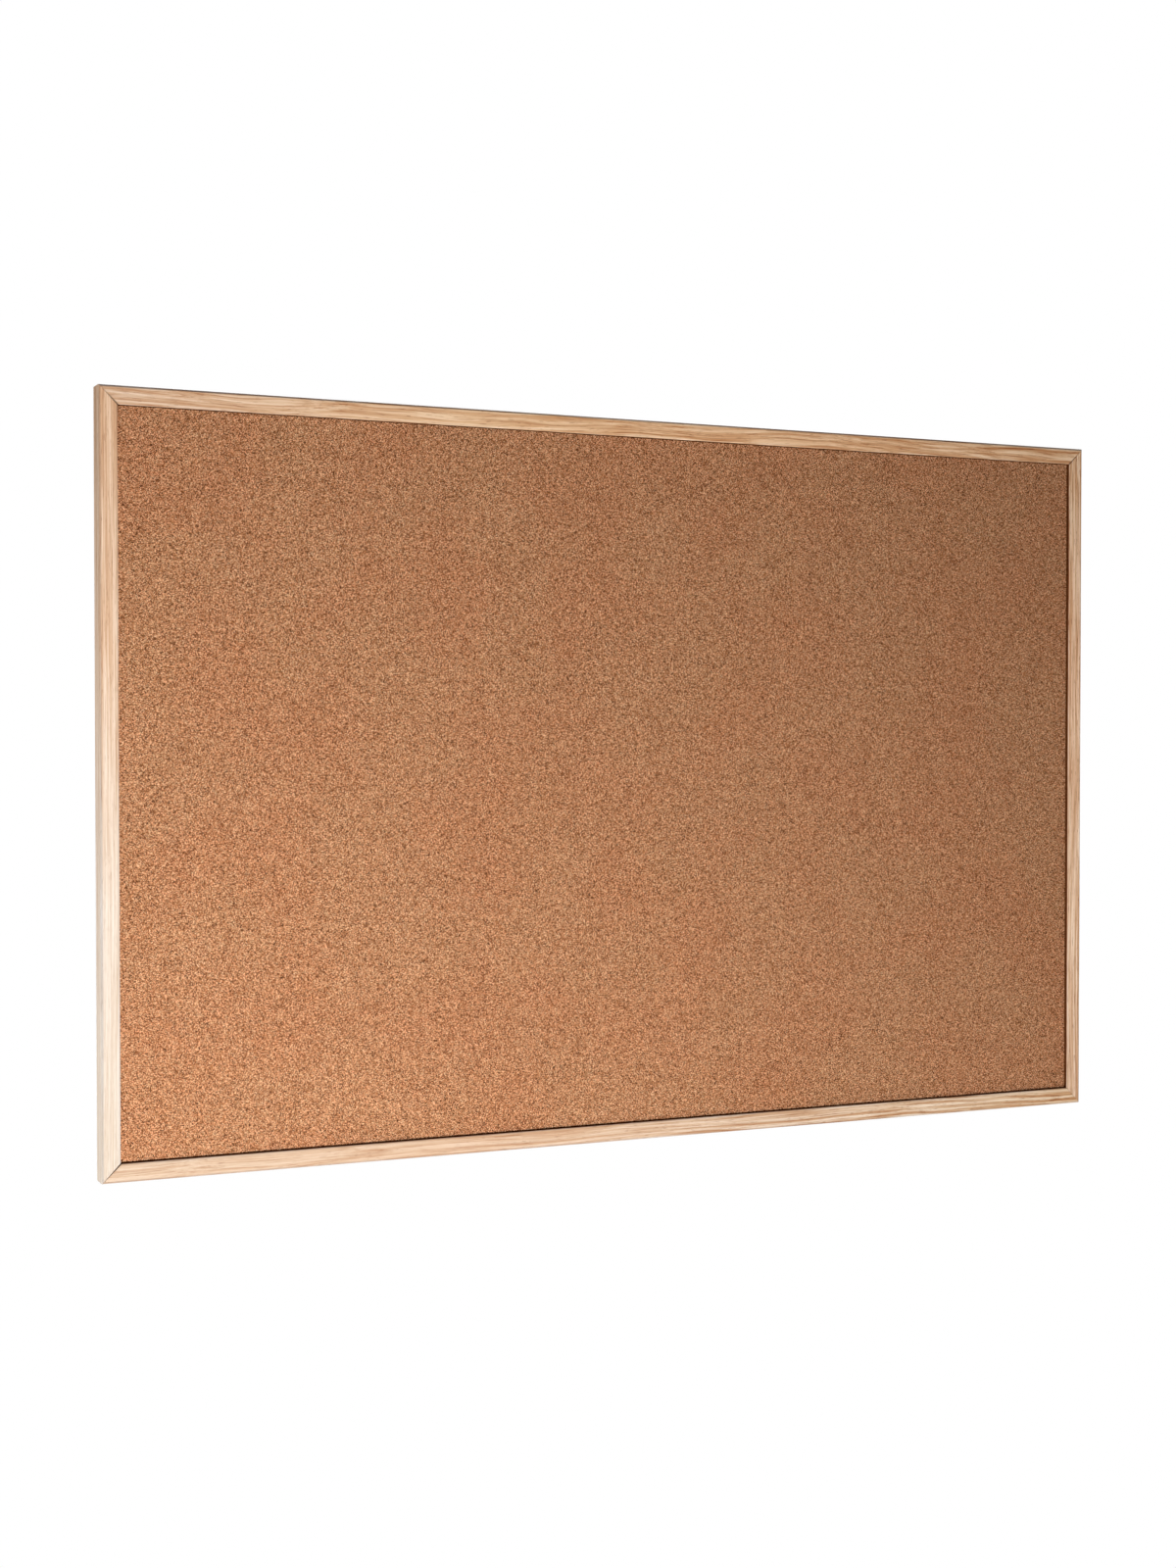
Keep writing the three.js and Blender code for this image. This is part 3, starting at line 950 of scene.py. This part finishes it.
    # Painted shade on the outer front edge, as strong as the rail's rim sets
    to_rim = s.math("MULTIPLY_ADD", band, -0.6, s.length(s.vector(0.0, from_outside, from_front)))
    wood = s.shaded(s.remap(to_rim, 0.9, 1.7, batten.rim, 0.0), wood, PAINTED_RIM_SHADE)
    # Painted shade on the inner edge of the lip, where the groove lies in shadow, as strong as the rail's
    # lip sets
    near_opening = [2 * half_face - gap for gap in PAINTED_LIP_SHADE_FROM_OPENING]
    painted_lip_shade = s.math(
        "MULTIPLY",
        s.remap(from_outside, *near_opening),
        s.remap(from_front, *PAINTED_LIP_SHADE_FROM_FRONT, batten.lip, 0.0),
    )
    wood = s.shaded(painted_lip_shade, wood, PAINTED_LIP_SHADE)

    height = s.math("MULTIPLY_ADD", late, 0.5, fibres)
    height = s.math("SUBTRACT", height, s.remap(canal, 0.66, 0.71))
    rough = s.remap(fibres, 0.3, 0.7, 0.52, 0.68)
    return s.finish(
        Base_Color=wood, Roughness=rough, Specular_IOR_Level=0.12, Normal=s.bump(height, 0.035),
    )


def fibreboard_material():
    """Dark brown softboard: matted strands, with no gloss."""
    s = Surface("dark_softboard")
    place = s.millimetres()
    strands = s.noise(s.scaled(place, (0.6, 3.0, 0.6)), 1.0, 5, 0.7)["Fac"]
    colour = s.ramp(strands, [(0.3, "#45240f"), (0.5, "#62361b"), (0.7, "#7e4d2b")])
    return s.finish(Base_Color=colour, Roughness=0.95, Specular_IOR_Level=0.05, Normal=s.bump(strands, 0.3))


def paper_material():
    """Brown kraft paper: soft fibres, faint press lines and a few darker flecks."""
    s = Surface("kraft_paper_back")
    place = s.millimetres()
    pulp = s.noise(s.scaled(place, (0.8, 0.8, 2.6)), 1.0, 5, 0.65)["Fac"]
    cloud = s.noise(place, 0.02, 3)["Fac"]
    colour = s.ramp(pulp, [(0.3, "#a98660"), (0.5, "#bd9b70"), (0.72, "#cfae84")])
    dusky = s.mix(1.0, colour, paint("#e3d3c0"), "MULTIPLY")
    colour = s.mix(s.remap(cloud, 0.3, 0.7, 0.0, 0.4), colour, dusky)
    flecks = s.remap(s.noise(s.scaled(place, (1.4, 1.4, 0.5)), 1.0, 2)["Fac"], 0.7, 0.74, 0.0, 0.55)
    colour = s.mix(flecks, colour, paint("#6d4f30"))
    lines = s.math("SINE", s.math("MULTIPLY", s.axes(place)[0], 2.1))
    height = s.math("ADD", pulp, s.math("MULTIPLY", lines, 0.06))
    rough = s.remap(pulp, 0.3, 0.7, 0.75, 0.92)
    return s.finish(Base_Color=colour, Roughness=rough, Specular_IOR_Level=0.3, Normal=s.bump(height, 0.05))


def steel_material():
    """Dull strip steel with draw lines and a few brown spots."""
    s = Surface("dull_strip_steel")
    place = s.millimetres()
    drawn = s.noise(s.scaled(place, (8.0, 0.6, 8.0)), 1.0, 3)["Fac"]
    spots = s.remap(s.noise(place, 0.9, 3)["Fac"], 0.58, 0.7, 0.0, 0.6)
    colour = s.mix(spots, s.ramp(drawn, [(0.3, "#7d8086"), (0.7, "#a0a3a8")]), paint("#6e5442"))
    rough = s.math("MULTIPLY_ADD", spots, 0.3, s.remap(drawn, 0.3, 0.7, 0.34, 0.5))
    metal = s.math("MULTIPLY_ADD", spots, -0.6, 1.0)
    return s.finish(Base_Color=colour, Metallic=metal, Roughness=rough, Normal=s.bump(drawn, 0.01))


def zinc_material():
    """Bright zinc plate: slightly blue and yellow clouds, fine scratches and dull spots."""
    s = Surface("bright_zinc_plate")
    place = s.millimetres()
    cloud = s.noise(place, 0.35, 3)["Fac"]
    colour = s.ramp(cloud, [(0.3, "#b2b8c0"), (0.5, "#bfc2c4"), (0.7, "#c5c1b4")])
    scratches = s.noise(s.scaled(place, (1.2, 9.0, 14.0)), 1.0, 4, 0.65)["Fac"]
    dull = s.remap(s.noise(s.moved(place, (5.0, 9.0, 2.0)), 1.3, 3)["Fac"], 0.56, 0.68, 0.0, 1.0)
    colour = s.mix(s.math("MULTIPLY", dull, 0.35), colour, paint("#8e9196"))
    rough = s.math("MULTIPLY_ADD", dull, 0.18, s.remap(scratches, 0.3, 0.7, 0.2, 0.36))
    return s.finish(Base_Color=colour, Metallic=1.0, Roughness=rough, Normal=s.bump(scratches, 0.006))


def rubber_material():
    """Dark grey rubber with a fine grain and a little dust."""
    s = Surface("soft_grey_rubber")
    place = s.millimetres()
    grain = s.noise(place, 6.0, 4, 0.6)["Fac"]
    dust = s.remap(s.noise(place, 0.8, 4)["Fac"], 0.5, 0.72, 0.0, 0.35)
    colour = s.mix(dust, s.ramp(grain, [(0.3, "#2f2f30"), (0.7, "#3f3f40")]), paint("#8b857b"))
    rough = s.remap(grain, 0.3, 0.7, 0.7, 0.85)
    return s.finish(Base_Color=colour, Roughness=rough, Specular_IOR_Level=0.4, Normal=s.bump(grain, 0.02))


# The object

joints = {joint["name"]: joint for joint in frame["joints"]}


def across(level, way):
    """Places a rail that runs along X at the board's top or bottom."""
    return lambda s, inward, out: Vector((BOARD_LEFT + s, BOARD_BACK - out, level + way * inward))


def upright(side, way):
    """Places a rail that runs along Z at the board's left or right."""
    return lambda s, inward, out: Vector((side + way * inward, BOARD_BACK - out, BOARD_BOTTOM + s))


def make_object():
    make_rail("top_rail", BOARD_WIDTH, across(BOARD_TOP, -1), "top_left", "top_right")
    make_rail("bottom_rail", BOARD_WIDTH, across(BOARD_BOTTOM, 1), "bottom_left", "bottom_right")
    for side, place in (("left", upright(BOARD_LEFT, 1)), ("right", upright(BOARD_RIGHT, -1))):
        ends = (f"bottom_{side}", f"top_{side}")
        make_rail(f"{side}_rail", BOARD_HEIGHT, place, *ends, f"hanger_screw_{side}")
    make_cork(cork_material())
    make_paper(paper_material())

    zinc = zinc_material()
    rubber = rubber_material()
    for side in ("left", "right"):
        make_ring(side, joints[f"{side}_ring_hinge"], zinc)
        make_strap(side, zinc)
        make_screw(side, zinc)
        make_bumper(side, rubber)

    steel = steel_material()
    for corner in MITRES:
        for which in ("outer", "inner"):
            dress(f"v_nail_{corner}_{which}", steel)
    dress("fibreboard_core", fibreboard_material())


def dress(node, material):
    """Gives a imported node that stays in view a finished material."""
    obj = frame["nodes"][node]
    obj.data.materials.clear()
    obj.data.materials.append(material)


make_object()


# The stage: a plain pale floor, a key light low on the left, and soft lights at both sides and behind

WHITE = (1, 1, 1, 1)
FLOOR_TONE = "#f1f0ee"
FLOOR_DROP = 1.1
FLOOR_HALF = 9

# As it is seen, the floor has this share of plain white up to the first distance from its
# middle, and is all white from the second on. What it lights and shades stays as it is
FLOOR_SHARE = 0.6
FLOOR_FADE = (0.9, 1.9)

AMBIENT = 0.1
KEY_PLACE = Vector((-0.548, -1.546, -1.011))
KEY_AIM = Vector((-0.8, 0, -0.9))
KEY_SIZE = 0.32
KEY_WATTS = 39
LEFT_PLACE = Vector((-1.05, 0.35, -0.68))
LEFT_AIM = Vector((-0.45, 0, -0.5))
LEFT_WATTS = 5.7
RIGHT_PLACE = Vector((1.2, 0.15, -0.25))
RIGHT_AIM = Vector((0.45, 0, -0.3))
RIGHT_WATTS = 3.6
SIDE_SIZE = 0.3
BACK_PLACE = Vector((0.4, 1.5, 1.3))
BACK_SIZE = 1.4
BACK_WATTS = 46


def seen_directly(s):
    """One for rays from the camera, from a gloss or through glass, and zero for the rest."""
    path = s.node("ShaderNodeLightPath", {}).outputs
    seen = s.math("MAXIMUM", path["Is Camera Ray"], path["Is Glossy Ray"])
    return s.math("MAXIMUM", seen, path["Is Transmission Ray"])


def make_floor():
    s = Surface("pale_floor")
    place = s.node("ShaderNodeTexCoord", {}).outputs["Object"]
    fade = s.remap(s.length(place), *FLOOR_FADE, FLOOR_SHARE, 1.0)
    white = s.math("MULTIPLY", fade, seen_directly(s))
    pale = s.node("ShaderNodeBsdfDiffuse", {"Color": paint(FLOOR_TONE)})
    bright = s.node("ShaderNodeEmission", {"Color": WHITE, "Strength": 1.0})
    both = s.node("ShaderNodeMixShader", {0: white, 1: pale.outputs[0], 2: bright.outputs[0]})
    s.node("ShaderNodeOutputMaterial", {0: both.outputs[0]})
    bm = bmesh.new()
    bmesh.ops.create_grid(bm, x_segments=1, y_segments=1, size=FLOOR_HALF)
    mesh = bpy.data.meshes.new("floor")
    bm.to_mesh(mesh)
    bm.free()
    mesh.materials.append(s.owner)
    floor = bpy.data.objects.new("floor", mesh)
    floor.location = (BOARD_CENTRE.x, BOARD_CENTRE.y, BOARD_BOTTOM - FLOOR_DROP)
    bpy.context.collection.objects.link(floor)


def make_world():
    s = Surface("studio", bpy.data.worlds)
    soft = s.node("ShaderNodeBackground", {"Color": WHITE, "Strength": AMBIENT})
    bright = s.node("ShaderNodeBackground", {"Color": WHITE, "Strength": 1.0})
    both = s.node("ShaderNodeMixShader", {0: seen_directly(s), 1: soft.outputs[0], 2: bright.outputs[0]})
    s.node("ShaderNodeOutputWorld", {0: both.outputs[0]})
    bpy.context.scene.world = s.owner


def make_lamp(name, place, aim, size, watts):
    data = bpy.data.lights.new(name, "AREA")
    data.shape = "SQUARE"
    data.size = size
    data.energy = watts
    lamp = bpy.data.objects.new(name, data)
    lamp.location = place
    lamp.rotation_euler = (aim - place).to_track_quat("-Z", "Y").to_euler()
    lamp.visible_camera = False
    bpy.context.collection.objects.link(lamp)


make_floor()
make_world()
make_lamp("key", KEY_PLACE, KEY_AIM, KEY_SIZE, KEY_WATTS)
make_lamp("left", LEFT_PLACE, LEFT_AIM, SIDE_SIZE, LEFT_WATTS)
make_lamp("right", RIGHT_PLACE, RIGHT_AIM, SIDE_SIZE, RIGHT_WATTS)
make_lamp("back", BACK_PLACE, BOARD_CENTRE, BACK_SIZE, BACK_WATTS)
bpy.context.scene.view_settings.view_transform = "Standard"
